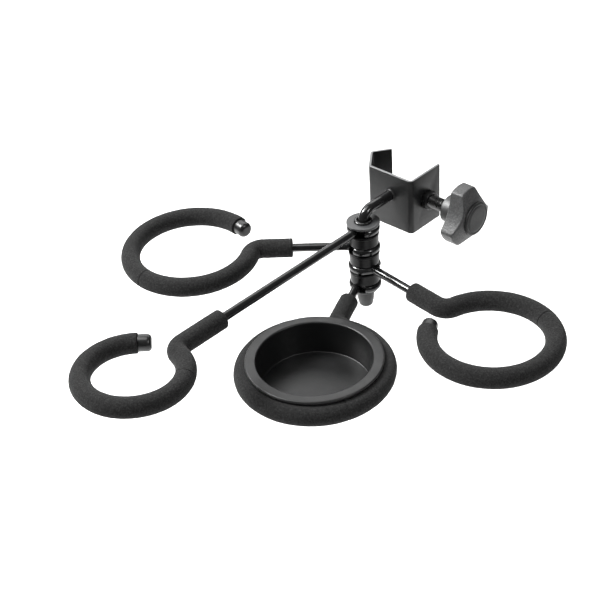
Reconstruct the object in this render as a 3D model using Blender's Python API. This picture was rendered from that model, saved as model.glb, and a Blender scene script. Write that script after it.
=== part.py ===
"""Clamp-on ring holder: a bent steel clamp with a knob screw, a pivot shaft with four swinging
wire arms that end in foam-covered open rings, and a cup-shaped tray in the lowest ring.

Frame: origin on the axis of the upright tube that the clamp grips, at the middle of the bracket's
height. +X runs along the clamp screw towards the knob, +Z runs up along the gripped tube and the
pivot shaft, and the pivot shaft stands on the bracket's -Y side. Lengths here are in millimetres
and MM turns them into metres.
"""
import math

import bmesh
import bpy
from mathutils import Matrix, Vector

MM = 0.001
GAP = 0.3                 # clearance between pieces that touch or turn on each other

# bracket: one bent steel strip
STRIP_THICKNESS = 2.0
STRIP_HEIGHT = 45.7
BEND_OUTER_RADIUS = 3.5
PANEL_X = 34.35           # outer face of the panel that carries the screw
PANEL_END_Y = 16.0
WEB_Y = -18.3             # outer face of the web that carries the support rod
WEB_LENGTH = 41.3
VEE_DEPTH = 13.8          # how far the vee's bend lies beyond the web's end
VEE_LIP = 16.7            # length of the vee's free panel

# clamp screw
STUD_RADIUS = 4.95
STUD_BORE_RADIUS = 5.35
WELD_NUT_RADIUS = 7.4
WELD_NUT_LENGTH = 4.7
PAD_FACE_X = 17.1
PAD_RADIUS = 8.0
PAD_LENGTH = 5.2
PIN_RADIUS = 3.4          # the stud's turned-down tip in the pad
PIN_LENGTH = 3.0

# knob
FERRULE_X = 54.9
FERRULE_LENGTH = 9.15
FERRULE_RADIUS = 10.5
LOBE_BACK_X = 64.35
LOBE_FRONT_X = 74.85      # where the knob's front starts to slope towards the cap
CAP_SEAT_X = 79.45        # seat of the round cap on the knob's front
LOBE_RADIUS = 23.5
LOBE_HALF_WIDTH = 20.0    # from a lobe's middle to its corner, in degrees
VALLEY_RADIUS = 15.2      # where the hollow between two lobes comes closest to the screw
LOBE_COUNT = 3
LOBE_ANGLE = 95.0         # direction of the first lobe, from +Y towards +Z
KNOB_STEPS = 48
CAP_RADIUS = 13.0
CAP_THICKNESS = 2.1

# pivot shaft
SHAFT_X = 14.1
SHAFT_Y = -50.5
SHAFT_TOP = -2.2          # top face of the stop washer
ROD_RADIUS = 4.0
ROD_RUN_Z = 5.4           # height of the rod's level run from the web
ROD_BEND_RADIUS = 9.2
STUB_RADIUS = 3.0
STUB_END = -69.5          # below the stop washer's top

# stack on the shaft; heights are below the stop washer's top
STOP_RADIUS = 12.6
STOP_THICKNESS = 1.75
FIRST_EYE = -5.3
PITCH = 16.7
WIRE_RADIUS = 3.25
EYE_RADIUS = 9.3          # centreline of the wire wound round the shaft
BUSH_RADIUS = 5.7
SPACER_TOP_RADIUS = 11.9
SPACER_FOOT_RADIUS = 11.3
THRUST_RADIUS = 10.0
THRUST_THICKNESS = 1.25
NUT_FLATS = 10.0
NUT_HEIGHT = 5.0
CAP_WALL_RADIUS = 6.65

# arms: heading, ring centre's reach, ring radius, foam radius, how far the rod's line passes
# beside the shaft, drop of the ring below its eye, twist of the ring about the rod and its pitch
# upwards, both in degrees, where the foam starts along the rod, and the angles of the joint between
# the two sleeves, of the foam's end and of the wire's cut end by the shaft
ARMS = {
    "arm_1": dict(heading=-90.2, reach=227.3, ring=34.5, foam=7.2, aside=0.0, drop=0.0,
                  twist=0.0, pitch=2.0, start=147.5, joint=124.0, end=-136.0, cut=47.0),
    "arm_2": dict(heading=220.6, reach=131.4, ring=46.3, foam=7.25, aside=0.0, drop=0.0,
                  twist=-2.0, pitch=0.0, start=54.0, joint=49.0, end=-138.0, cut=47.0),
    "arm_3": dict(heading=-6.9, reach=130.7, ring=44.6, foam=7.5, aside=0.0, drop=0.0,
                  twist=0.0, pitch=0.0, start=52.3, joint=73.0, end=-145.5, cut=47.0),
    "arm_4": dict(heading=-68.4, reach=109.3, ring=50.85, foam=7.25, aside=-4.2, drop=2.1,
                  twist=0.0, pitch=0.0, start=25.3, joint=45.0, end=-140.0, cut=20.0),
}
DROP_END = 45.0           # distance from the shaft where a dropping rod is level again
EYE_FILLET = 5.0
RING_FILLET = 10.0
TIP_LENGTH = 7.8          # straight wire beyond the foam
TIP_CAP_LENGTH = 9.3
TIP_CAP_RADIUS = 6.0

# tray, seated in the lowest ring; heights are above the ring's centre
TRAY_RIM_TOP = 10.5
TRAY_RIM_THICKNESS = 2.95
TRAY_RIM_RADIUS = 49.4
TRAY_WALL_RADIUS = 43.0
TRAY_MOUTH_RADIUS = 41.6
TRAY_FLOOR_RADIUS = 40.0
TRAY_DEPTH = 26.0
TRAY_FLOOR = 2.0

WIRE_SIDES = 8
FOAM_SIDES = 10
ROUND_STEPS = 28


# ---------------------------------------------------------------- scene and materials

def clear_scene():
    for obj in list(bpy.data.objects):
        bpy.data.objects.remove(obj, do_unlink=True)


def material(name, colour, roughness, metallic=0.0):
    mat = bpy.data.materials.new(name)
    mat.use_nodes = True
    shader = mat.node_tree.nodes["Principled BSDF"]
    shader.inputs["Base Color"].default_value = (*colour, 1.0)
    shader.inputs["Roughness"].default_value = roughness
    shader.inputs["Metallic"].default_value = metallic
    mat.diffuse_color = (*colour, 1.0)
    return mat


FINISHES = {
    "coated": dict(colour=(0.045, 0.045, 0.047), roughness=0.42),
    "wire": dict(colour=(0.03, 0.03, 0.032), roughness=0.22),
    "steel": dict(colour=(0.36, 0.36, 0.37), roughness=0.35, metallic=1.0),
    "foam": dict(colour=(0.033, 0.033, 0.034), roughness=0.95),
    "spacer": dict(colour=(0.05, 0.05, 0.052), roughness=0.45),
    "nylon": dict(colour=(0.02, 0.02, 0.021), roughness=0.5),
    "knob": dict(colour=(0.09, 0.09, 0.095), roughness=0.55),
    "cap": dict(colour=(0.03, 0.03, 0.032), roughness=0.3),
    "tray": dict(colour=(0.03, 0.03, 0.033), roughness=0.4),
    "rubber": dict(colour=(0.02, 0.02, 0.02), roughness=0.8),
}


def empty(name, location, parent=None, angle=0.0):
    obj = bpy.data.objects.new(name, None)
    obj.location = Vector(location) * MM
    obj.rotation_euler = (0.0, 0.0, math.radians(angle))
    obj.parent = parent
    bpy.context.collection.objects.link(obj)
    return obj


def mesh_object(name, bm, finish, parent=None, matrix=None):
    """Make a node from a bmesh in millimetres, with its own material."""
    bmesh.ops.recalc_face_normals(bm, faces=bm.faces)
    if matrix is not None:
        bm.transform(matrix)
    bm.transform(Matrix.Scale(MM, 4))
    mesh = bpy.data.meshes.new(name)
    bm.to_mesh(mesh)
    bm.free()
    mesh.shade_smooth()
    mesh.set_sharp_from_angle(angle=math.radians(35))
    mesh.materials.append(material(name, **FINISHES[finish]))
    obj = bpy.data.objects.new(name, mesh)
    obj.parent = parent
    bpy.context.collection.objects.link(obj)
    return obj


# ---------------------------------------------------------------- solids

def skin(rings, loop=False):
    """Closed body over rings of points with equal counts: capped ends, or joined end to end."""
    bm = bmesh.new()
    rows = [[bm.verts.new(p) for p in ring] for ring in rings]
    pairs = list(zip(rows, rows[1:] + rows[:1])) if loop else list(zip(rows, rows[1:]))
    for low, high in pairs:
        for i in range(len(low)):
            j = (i + 1) % len(low)
            bm.faces.new((low[i], low[j], high[j], high[i]))
    if not loop:
        bm.faces.new(rows[0])
        bm.faces.new(rows[-1])
    return bm


def circle(radius, along, steps, turn=0.0):
    """Points of a circle round the Z axis at height `along`."""
    out = []
    for i in range(steps):
        a = 2 * math.pi * (i + turn) / steps
        out.append(Vector((radius * math.cos(a), radius * math.sin(a), along)))
    return out


def lathe(profile, steps=ROUND_STEPS, hollow=False):
    """Turn (radius, height) points about Z; a hollow one's profile is a closed loop."""
    return skin([circle(r, h, steps) for r, h in profile], loop=hollow)


def rounded(radius, low, high, edge):
    """Profile points of a plain round with its two outer edges broken by `edge`."""
    return [(radius - edge, low), (radius, low + edge), (radius, high - edge), (radius - edge, high)]


def cup(outside, inside, steps=ROUND_STEPS):
    """Turned cup from two profiles that start and end at the rim: along the outside to the
    closed end, then along the inside from the closed end back to the rim."""
    bm = bmesh.new()
    rows = [[bm.verts.new(p) for p in circle(r, h, steps)] for r, h in outside + inside]
    closed = len(outside) - 1
    for k, (low, high) in enumerate(zip(rows, rows[1:] + rows[:1])):
        if k == closed:
            continue
        for i in range(steps):
            j = (i + 1) % steps
            bm.faces.new((low[i], low[j], high[j], high[i]))
    bm.faces.new(rows[closed])
    bm.faces.new(rows[closed + 1])
    return bm


def washer_profile(inner, outer, low, high, edge=0.25):
    return rounded(outer, low, high, edge) + [(inner, high), (inner, low)]


class Path:
    """A route of straight runs and level arcs that can be read at any distance along it."""

    def __init__(self):
        self.parts = []
        self.length = 0.0
        self.tilt = Matrix.Identity(3)
        self.tilt_centre = Vector()
        self.tilt_from = math.inf

    def line(self, start, end):
        start, end = Vector(start), Vector(end)
        size = (end - start).length
        self.parts.append((self.length, size, 1, lambda d: start.lerp(end, d / size),
                           lambda d: (end - start).normalized()))
        self.length += size
        return self

    def arc(self, centre, radius, first, last, steps):
        centre = Vector(centre)
        first, last = math.radians(first), math.radians(last)
        size = abs(last - first) * radius
        way = 1 if last > first else -1

        def angle(d):
            return first + way * d / radius

        def point(d):
            return centre + radius * Vector((math.cos(angle(d)), math.sin(angle(d)), 0.0))

        def heading(d):
            return way * Vector((-math.sin(angle(d)), math.cos(angle(d)), 0.0))

        self.parts.append((self.length, size, steps, point, heading))
        self.length += size
        return self

    def tilt_rest(self, centre, twist, pitch):
        """Tilt all that is added from here on about a point: twist about X, then pitch up."""
        self.tilt = (Matrix.Rotation(math.radians(-pitch), 3, "Y")
                     @ Matrix.Rotation(math.radians(twist), 3, "X"))
        self.tilt_centre = Vector(centre)
        self.tilt_from = self.length

    def stations(self, low=0.0, high=None):
        """(point, heading) pairs from distance low to high, close enough for a smooth sweep."""
        high = self.length if high is None else high
        marks = {round(low, 6), round(high, 6)}
        for begin, size, steps, _, _ in self.parts:
            for i in range(steps + 1):
                at = begin + size * i / steps
                if low + 0.6 < at < high - 0.6:
                    marks.add(round(at, 6))
        return [self.at(d) for d in sorted(marks)]

    def at(self, distance):
        place = self.parts[-1]
        for part in self.parts:
            if distance <= part[0] + part[1] + 1e-6:
                place = part
                break
        begin, size, _, point, heading = place
        along = min(distance - begin, size)
        if begin >= self.tilt_from:
            tilted = self.tilt_centre + self.tilt @ (point(along) - self.tilt_centre)
            return tilted, self.tilt @ heading(along)
        return point(along), heading(along)


def section(point, heading, radius, sides, turn=0.0):
    """Points of a circle square to a nearly level heading."""
    side = Vector((0, 0, 1)).cross(heading).normalized()
    up = heading.cross(side)
    out = []
    for i in range(sides):
        a = 2 * math.pi * (i + turn) / sides
        out.append(point + radius * (math.cos(a) * side + math.sin(a) * up))
    return out


def sweep(stations, radius, sides):
    return skin([section(p, h, radius, sides) for p, h in stations])


def sleeve(stations, outer, inner):
    """Tube wall swept along a path, with open ends."""
    outside = [section(p, h, outer, FOAM_SIDES) for p, h in stations]
    inside = [section(p, h, inner, FOAM_SIDES) for p, h in reversed(stations)]
    return skin(outside + inside, loop=True)


# ---------------------------------------------------------------- bracket

def strip_outline():
    """The bent strip seen from above: outer face out and back along the inner face."""
    web_end = PANEL_X - WEB_LENGTH
    corners = [Vector(c) for c in ((PANEL_X, PANEL_END_Y), (PANEL_X, WEB_Y), (web_end, WEB_Y),
                                   (web_end - VEE_DEPTH, 0.0))]
    lip = Vector((VEE_DEPTH, -WEB_Y)).normalized()
    corners.append(corners[-1] + lip * VEE_LIP)
    outer, inner = [], []

    def inward(way):
        return Vector((way.y, -way.x))

    first = (corners[1] - corners[0]).normalized()
    outer.append(corners[0])
    inner.append(corners[0] + STRIP_THICKNESS * inward(first))
    for before, corner, after in zip(corners, corners[1:], corners[2:]):
        way_in, way_out = (corner - before).normalized(), (after - corner).normalized()
        bend = way_in.angle(way_out)
        centre = (corner - way_in * BEND_OUTER_RADIUS * math.tan(bend / 2)
                  + inward(way_in) * BEND_OUTER_RADIUS)
        steps = max(3, round(math.degrees(bend) / 15))
        for i in range(steps + 1):
            ray = Matrix.Rotation(-bend * i / steps, 2) @ -inward(way_in)
            outer.append(centre + ray * BEND_OUTER_RADIUS)
            inner.append(centre + ray * (BEND_OUTER_RADIUS - STRIP_THICKNESS))
    last = (corners[-1] - corners[-2]).normalized()
    outer.append(corners[-1])
    inner.append(corners[-1] + STRIP_THICKNESS * inward(last))
    return outer, inner


def bracket():
    outer, inner = strip_outline()
    rings = []
    for a, b in zip(outer, inner):
        rings.append([Vector((p.x, p.y, z)) for p, z in (
            (a, -STRIP_HEIGHT / 2), (a, STRIP_HEIGHT / 2), (b, STRIP_HEIGHT / 2),
            (b, -STRIP_HEIGHT / 2))])
    body = mesh_object("clamp_bracket", skin(rings), "coated")
    hole = lathe([(STUD_BORE_RADIUS, PANEL_X - 10), (STUD_BORE_RADIUS, PANEL_X + 10)])
    cutter = mesh_object("stud_hole_cutter", hole, "steel", matrix=ALONG_X)
    cutter.hide_render = True
    cutter.display_type = "WIRE"
    cut = body.modifiers.new("stud_hole", "BOOLEAN")
    cut.operation = "DIFFERENCE"
    cut.solver = "EXACT"
    cut.object = cutter


# ---------------------------------------------------------------- clamp screw and knob

ALONG_X = Matrix.Rotation(math.radians(90), 4, "Y")


def weld_nut():
    low = PANEL_X + GAP
    profile = washer_profile(STUD_BORE_RADIUS, WELD_NUT_RADIUS, low, low + WELD_NUT_LENGTH, 0.6)
    mesh_object("clamp_weld_nut", lathe(profile, hollow=True), "coated", matrix=ALONG_X)


def pad(parent):
    back = PAD_FACE_X + PAD_LENGTH
    pocket = PIN_RADIUS + GAP
    profile = [(PAD_RADIUS - 0.8, PAD_FACE_X), (PAD_RADIUS, PAD_FACE_X + 0.8),
               (PAD_RADIUS, back - 1.2), (PAD_RADIUS - 1.2, back), (pocket, back),
               (pocket, back - PIN_LENGTH - GAP)]
    mesh_object("clamp_pad", lathe(profile), "rubber", parent, ALONG_X)


def stud(parent):
    shoulder = PAD_FACE_X + PAD_LENGTH + GAP
    end = CAP_SEAT_X - 10.0
    profile = [(PIN_RADIUS, shoulder - PIN_LENGTH), (PIN_RADIUS, shoulder),
               (STUD_RADIUS - 0.8, shoulder), (STUD_RADIUS, shoulder + 0.8), (STUD_RADIUS, end)]
    mesh_object("clamp_stud", lathe(profile, 24), "steel", parent, ALONG_X)


def ferrule(parent):
    profile = washer_profile(STUD_RADIUS + GAP, FERRULE_RADIUS, FERRULE_X,
                             FERRULE_X + FERRULE_LENGTH, 0.5)
    mesh_object("knob_ferrule", lathe(profile, 24, hollow=True), "steel", parent, ALONG_X)


def outline_radius(angle):
    """Distance from the screw to the knob's lobed outline: round lobe ends joined by hollow arcs,
    with the corners blended."""
    pitch = 2 * math.pi / LOBE_COUNT
    off = (angle - math.radians(LOBE_ANGLE)) % pitch - pitch / 2
    half = pitch / 2 - math.radians(LOBE_HALF_WIDTH)
    chord, reach = LOBE_RADIUS * math.sin(half), LOBE_RADIUS * math.cos(half)
    sag = reach - VALLEY_RADIUS
    hollow = (chord ** 2 + sag ** 2) / (2 * sag)
    centre = VALLEY_RADIUS + hollow
    side = centre * math.sin(off)
    flank = 99.0
    if abs(side) < hollow:
        flank = centre * math.cos(off) - math.sqrt(hollow ** 2 - side ** 2)
    return -math.log(math.exp(-LOBE_RADIUS) + math.exp(-flank))


def knob_ring(along, radius=0.0, scale=0.0):
    """Points round the screw's axis: a circle, a scaled lobed outline, or a sum of both."""
    out = []
    for i in range(KNOB_STEPS):
        a = 2 * math.pi * i / KNOB_STEPS
        r = radius + scale * outline_radius(a)
        out.append(Vector((along, r * math.cos(a), r * math.sin(a))))
    return out


def sloped_ring(share):
    """Points of the knob's front part way from the lobes' front edge to the cap's seat: the lobed
    outline cut down by a cone."""
    along = LOBE_FRONT_X + (CAP_SEAT_X - LOBE_FRONT_X) * share
    limit = LOBE_RADIUS - 0.4 + (CAP_RADIUS + 0.9 - LOBE_RADIUS) * share
    out = []
    for i in range(KNOB_STEPS):
        a = 2 * math.pi * i / KNOB_STEPS
        r = min(outline_radius(a), limit)
        out.append(Vector((along, r * math.cos(a), r * math.sin(a))))
    return out


def knob(parent):
    bore = STUD_RADIUS + GAP
    back, front = LOBE_BACK_X, LOBE_FRONT_X
    rings = [knob_ring(CAP_SEAT_X - 9.7, bore), knob_ring(back, bore),
             knob_ring(back, scale=0.95), knob_ring(back + 1.2, scale=1.0),
             knob_ring(front - 0.5, scale=1.0)]
    rings += [sloped_ring(i / 6) for i in range(7)]
    mesh_object("clamp_knob", skin(rings), "knob", parent)
    low = CAP_SEAT_X + GAP
    profile = [(CAP_RADIUS, low), (CAP_RADIUS, low + CAP_THICKNESS - 0.7),
               (CAP_RADIUS - 0.8, low + CAP_THICKNESS - 0.1),
               (CAP_RADIUS - 3.5, low + CAP_THICKNESS)]
    mesh_object("knob_cap", lathe(profile), "knob", parent, ALONG_X)


# ---------------------------------------------------------------- support rod and stack

def shaft_rings():
    """Rings of the support rod in the shaft's frame: level run, bend, shaft and thin stub."""
    run = ROD_RUN_Z - SHAFT_TOP
    root = WEB_Y - GAP - SHAFT_Y
    turn = Vector((0.0, ROD_BEND_RADIUS, run - ROD_BEND_RADIUS))
    route = [(Vector((0.0, root, run)), 0.0, ROD_RADIUS)]
    for i in range(9):
        a = math.radians(90 * i / 8)
        bend = Vector((0.0, -math.sin(a), math.cos(a))) * ROD_BEND_RADIUS
        route.append((turn + bend, a, ROD_RADIUS))
    shoulder = FIRST_EYE - 3 * PITCH - WIRE_RADIUS
    down = math.radians(90)
    for height, radius in ((shoulder, ROD_RADIUS), (shoulder, STUB_RADIUS),
                           (STUB_END, STUB_RADIUS)):
        route.append((Vector((0.0, 0.0, height)), down, radius))
    rings = []
    for point, a, radius in route:
        up = Vector((0.0, math.sin(a), -math.cos(a)))
        ring = []
        for i in range(16):
            t = 2 * math.pi * i / 16
            ring.append(point + radius * (math.cos(t) * Vector((1, 0, 0)) + math.sin(t) * up))
        rings.append(ring)
    return rings


def support(shaft):
    mesh_object("support_rod", skin(shaft_rings()), "wire", shaft)
    bead = [(ROD_RADIUS + GAP, 0.0), (ROD_RADIUS + 1.6, 0.0), (ROD_RADIUS + 1.3, 0.7),
            (ROD_RADIUS + 0.8, 1.3), (ROD_RADIUS + GAP, 1.5)]
    place = (Matrix.Translation((SHAFT_X, WEB_Y - GAP, ROD_RUN_Z))
             @ Matrix.Rotation(math.radians(90), 4, "X"))
    mesh_object("rod_weld", lathe(bead, 20, hollow=True), "coated", matrix=place)
    profile = washer_profile(ROD_RADIUS + 0.5, STOP_RADIUS, -STOP_THICKNESS, 0.0, 0.4)
    mesh_object("stop_washer", lathe(profile, hollow=True), "coated", shaft)
    collar = [(ROD_RADIUS + 1.1, GAP), (ROD_RADIUS + 2.9, GAP), (ROD_RADIUS + 2.3, 1.1),
              (ROD_RADIUS + 1.1, 1.5)]
    mesh_object("stop_weld", lathe(collar, 20, hollow=True), "coated", shaft)


def stack(shaft):
    """Bushes inside the eyes and spacers between them, from the top down."""
    for i in range(4):
        middle = FIRST_EYE - i * PITCH
        profile = washer_profile(ROD_RADIUS + GAP, BUSH_RADIUS, middle - WIRE_RADIUS,
                                 middle + WIRE_RADIUS, 0.2)
        mesh_object(f"eye_bush_{i + 1}", lathe(profile, 24, hollow=True), "nylon", shaft)
        if i == 3:
            continue
        top = middle - WIRE_RADIUS - GAP
        low = middle - PITCH + WIRE_RADIUS + GAP
        profile = [(SPACER_FOOT_RADIUS - 0.6, low), (SPACER_FOOT_RADIUS, low + 0.6),
                   (SPACER_TOP_RADIUS, top - 0.8), (SPACER_TOP_RADIUS - 0.8, top),
                   (ROD_RADIUS + GAP, top), (ROD_RADIUS + GAP, low)]
        mesh_object(f"spacer_{i + 1}", lathe(profile, hollow=True), "spacer", shaft)


def foot_of_stack(shaft):
    """Washers, nut and cover under the lowest eye."""
    bore = STUB_RADIUS + GAP
    top = FIRST_EYE - 3 * PITCH - WIRE_RADIUS - GAP
    low = top - THRUST_THICKNESS
    mesh_object("thrust_washer", lathe(washer_profile(bore, THRUST_RADIUS, low, top), 24,
                                       hollow=True), "steel", shaft)
    top = low - GAP
    split_ring(shaft, bore, 5.4, top - 1.4, top)
    nut_top = top - 1.4 - GAP
    foot = nut_top - NUT_HEIGHT
    walls = [hexagon(foot), hexagon(nut_top), circle(bore, nut_top, 24), circle(bore, foot, 24)]
    mesh_object("lock_nut", skin(walls, loop=True), "steel", shaft)
    profile = [(6.1, top), (CAP_WALL_RADIUS, top), (CAP_WALL_RADIUS - 0.05, top - 7.0),
               (5.7, top - 11.5), (5.0, top - 13.6), (3.4, top - 15.1), (1.4, top - 15.7)]
    inside = [(1.4, top - 12.9), (3.4, top - 12.0), (4.6, top - 9.8), (6.1, top - 7.2)]
    mesh_object("end_cap", cup(profile, inside), "cap", shaft)


def hexagon(along):
    """24 points round the nut's hexagon at one height."""
    out = []
    for i in range(24):
        a = 2 * math.pi * i / 24
        off = (a + math.pi / 6) % (math.pi / 3) - math.pi / 6
        r = NUT_FLATS / 2 / math.cos(off)
        out.append(Vector((r * math.cos(a), r * math.sin(a), along)))
    return out


def split_ring(shaft, inner, outer, low, high):
    """Spring washer: a ring of square section with a narrow cut and slightly offset ends."""
    steps, cut, offset = 24, math.radians(8), 0.15
    rings = []
    for i in range(steps + 1):
        a = cut + (2 * math.pi - 2 * cut) * i / steps
        lift = offset * (i / steps - 0.5)
        rings.append([Vector((r * math.cos(a), r * math.sin(a), z + lift)) for r, z in (
            (inner, low + offset / 2), (outer, low + offset / 2), (outer, high - offset / 2),
            (inner, high - offset / 2))])
    mesh_object("spring_washer", skin(rings), "steel", shaft)


# ---------------------------------------------------------------- arms

def arm_route(reach, ring, aside, drop, twist, pitch, start, joint, end, cut, **_):
    """The wire's centreline in the arm's frame, with +X along the rod and the shaft at the
    origin: cut end beside the rod, round the shaft, out along the rod, S-bend, ring and tip.
    Also gives the distances along it where the foam starts, meets and ends."""
    path = Path()
    low = aside - EYE_FILLET
    out = math.sqrt((EYE_RADIUS + EYE_FILLET) ** 2 - low ** 2)
    touch = math.degrees(math.atan2(low, out))
    path.arc((0, 0, 0), EYE_RADIUS, cut, 360 + touch, 20)
    path.arc((out, low, 0), EYE_FILLET, 180 + touch, 90, 5)

    high = aside + RING_FILLET
    back = math.sqrt((ring + RING_FILLET) ** 2 - high ** 2)
    bend = reach - back
    if drop:
        path.line((out, aside, 0), (DROP_END, aside, -drop))
        path.line((DROP_END, aside, -drop), (bend, aside, -drop))
    else:
        path.line((out, aside, 0), (bend, aside, 0))
    foam_start = path.length - (bend - start)
    path.tilt_rest((bend, aside, -drop), twist, pitch)
    leave = math.degrees(math.atan2(-high, back))
    path.arc((bend, high, -drop), RING_FILLET, -90, leave, 6)
    ring_start = path.length
    first = 180 + leave
    path.arc((reach, 0, -drop), ring, first, end, 24)
    foam_meet = ring_start + math.radians(first - joint) * ring
    foam_end = path.length
    last = math.radians(end)
    point = Vector((reach + ring * math.cos(last), ring * math.sin(last), -drop))
    path.line(point, point + TIP_LENGTH * Vector((math.sin(last), -math.cos(last), 0.0)))
    return path, foam_start, foam_meet, foam_end


def arm(name, place, shaft, index):
    pivot = empty(f"{name}_pivot", (0, 0, FIRST_EYE - index * PITCH), shaft, place["heading"])
    path, start, meet, end = arm_route(**place)
    mesh_object(f"{name}_wire", sweep(path.stations(), WIRE_RADIUS, WIRE_SIDES), "wire", pivot)
    bore = (WIRE_RADIUS + GAP) / math.cos(math.pi / FOAM_SIDES)
    for part, low, high in (("inner", start, meet), ("outer", meet + GAP, end)):
        body = sleeve(path.stations(low, high), place["foam"], bore)
        mesh_object(f"{name}_foam_{part}", body, "foam", pivot)
    tip_cap(name, path, end, pivot)
    return pivot


def tip_cap(name, path, end, pivot):
    """Plastic cap pushed over the wire's end."""
    root, heading = path.at(end + GAP)
    bore = WIRE_RADIUS + GAP
    outside = [(TIP_CAP_RADIUS - 0.6, 0.0), (TIP_CAP_RADIUS, 0.6), (TIP_CAP_RADIUS, 6.2),
               (5.6, 7.6), (4.5, 8.7), (2.4, 9.2), (0.8, TIP_CAP_LENGTH)]
    inside = [(0.8, TIP_LENGTH), (bore, TIP_LENGTH), (bore, 0.0)]
    turn = Vector((0, 0, 1)).rotation_difference(heading).to_matrix().to_4x4()
    matrix = Matrix.Translation(root) @ turn
    mesh_object(f"{name}_tip_cap", cup(outside, inside, 16), "cap", pivot, matrix)


def tray(pivot):
    place = ARMS["arm_4"]
    top = TRAY_RIM_TOP
    seat = top - TRAY_RIM_THICKNESS
    floor = top - TRAY_DEPTH
    outside = [(TRAY_MOUTH_RADIUS, top - 0.9), (TRAY_MOUTH_RADIUS + 0.9, top),
               (TRAY_RIM_RADIUS - 0.9, top), (TRAY_RIM_RADIUS, top - 0.9),
               (TRAY_RIM_RADIUS, seat + 0.6), (TRAY_RIM_RADIUS - 0.6, seat),
               (TRAY_WALL_RADIUS, seat), (TRAY_FLOOR_RADIUS + 1.5, floor - TRAY_FLOOR + 1.2),
               (TRAY_FLOOR_RADIUS + 0.3, floor - TRAY_FLOOR)]
    centre = Matrix.Translation((place["reach"], 0.0, -place["drop"]))
    mesh_object("tray", cup(outside, [(TRAY_FLOOR_RADIUS, floor)], 48), "tray", pivot, centre)


def build():
    clear_scene()
    bracket()
    weld_nut()
    screw = empty("screw_axis", (0, 0, 0))
    pad(screw)
    stud(screw)
    ferrule(screw)
    knob(screw)
    shaft = empty("shaft_axis", (SHAFT_X, SHAFT_Y, SHAFT_TOP))
    support(shaft)
    stack(shaft)
    foot_of_stack(shaft)
    for index, (name, place) in enumerate(ARMS.items()):
        pivot = arm(name, place, shaft, index)
        if name == "arm_4":
            tray(pivot)


build()
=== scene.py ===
"""Looks of the clamp-on ring holder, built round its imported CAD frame.

Lengths are in millimetres until a mesh is made, in the CAD frame: origin on the gripped tube's
axis, +X along the clamp screw towards the knob, +Z up. The pivot shaft's own frame has its origin
on the shaft at the stop washer's top.
"""

import math

import bmesh
import bpy
import numpy as np
from mathutils import Matrix, Vector, noise


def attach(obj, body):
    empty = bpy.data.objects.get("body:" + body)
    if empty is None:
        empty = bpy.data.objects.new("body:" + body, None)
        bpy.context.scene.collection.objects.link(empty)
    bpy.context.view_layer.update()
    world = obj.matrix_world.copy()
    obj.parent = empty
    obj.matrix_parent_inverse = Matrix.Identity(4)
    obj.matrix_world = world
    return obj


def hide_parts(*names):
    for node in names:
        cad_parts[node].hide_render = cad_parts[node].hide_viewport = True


MM = 0.001
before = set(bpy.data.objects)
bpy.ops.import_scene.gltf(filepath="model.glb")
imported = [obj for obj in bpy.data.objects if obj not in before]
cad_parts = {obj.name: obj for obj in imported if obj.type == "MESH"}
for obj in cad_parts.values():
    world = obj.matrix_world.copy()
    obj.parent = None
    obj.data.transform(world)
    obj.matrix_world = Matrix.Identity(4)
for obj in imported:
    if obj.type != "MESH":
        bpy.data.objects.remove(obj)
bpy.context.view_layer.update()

# ---------------------------------------------------------------- sizes shared with the CAD

GAP = 0.3                 # clearance between neighbouring parts
SHEET, BEND, STRIP_HEIGHT = 2.0, 3.5, 45.7
PANEL_X, PANEL_END_Y, WEB_Y, WEB_LENGTH = 34.35, 16.0, -18.3, 41.3
VEE_DEPTH, VEE_LIP = 13.8, 16.7
STUD_BORE = 5.35

SHAFT = Vector((14.1, -50.5, -2.2))
ROD = 4.0                 # radius of the support rod and shaft
ROD_RUN_Z = 5.4
ROD_BEND = 9.2
STUB, STUB_END = 3.0, -69.5

# stack on the shaft; heights are below the stop washer's top
STOP_RADIUS, STOP_THICKNESS = 12.6, 1.75
FIRST_EYE = -5.3
PITCH = 16.7
WIRE = 3.25               # radius of the coated wire
EYE = 9.3                 # centreline of the wire wound round the shaft
SHAFT_BORE = 4.3
BUSH_RADIUS = 5.9
SPACER_TOP, SPACER_FOOT = 11.85, 11.3
THRUST_RADIUS, THRUST_THICKNESS = 10.0, 1.25
THRUST_TOP = FIRST_EYE - 3 * PITCH - WIRE - GAP

# arms: heading, ring centre's reach, ring radius, foam radius, how far the rod's line passes
# beside the shaft, drop of the ring below its eye, twist of the ring about the rod and its pitch
# upwards, both in degrees, where the foam starts along the rod, and the angles of the joint between
# the two sleeves, of the foam's end and of the wire's cut end by the shaft
ARMS = {
    "arm_1": dict(heading=-90.2, reach=227.3, ring=34.5, foam=7.2, aside=0.0, drop=0.0,
                  twist=0.0, pitch=2.0, start=147.5, joint=124.0, end=-136.0, cut=47.0),
    "arm_2": dict(heading=220.6, reach=131.4, ring=46.3, foam=7.25, aside=0.0, drop=0.0,
                  twist=-2.0, pitch=0.0, start=54.0, joint=49.0, end=-138.0, cut=47.0),
    "arm_3": dict(heading=-6.9, reach=130.7, ring=44.6, foam=7.5, aside=0.0, drop=0.0,
                  twist=0.0, pitch=0.0, start=52.3, joint=73.0, end=-145.5, cut=47.0),
    "arm_4": dict(heading=-68.4, reach=109.3, ring=50.85, foam=7.25, aside=-4.2, drop=2.1,
                  twist=0.0, pitch=0.0, start=25.3, joint=45.0, end=-140.0, cut=20.0),
}
DROP_END = 45.0           # distance from the shaft where a dropping rod is level again
EYE_FILLET = 5.0
RING_FILLET = 10.0
TIP_LENGTH = 7.8          # straight wire beyond the foam
TIP_CAP_RADIUS, TIP_CAP_LENGTH, TIP_DOME = 6.0, 9.2, 3.0


# ---------------------------------------------------------------- materials

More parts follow.
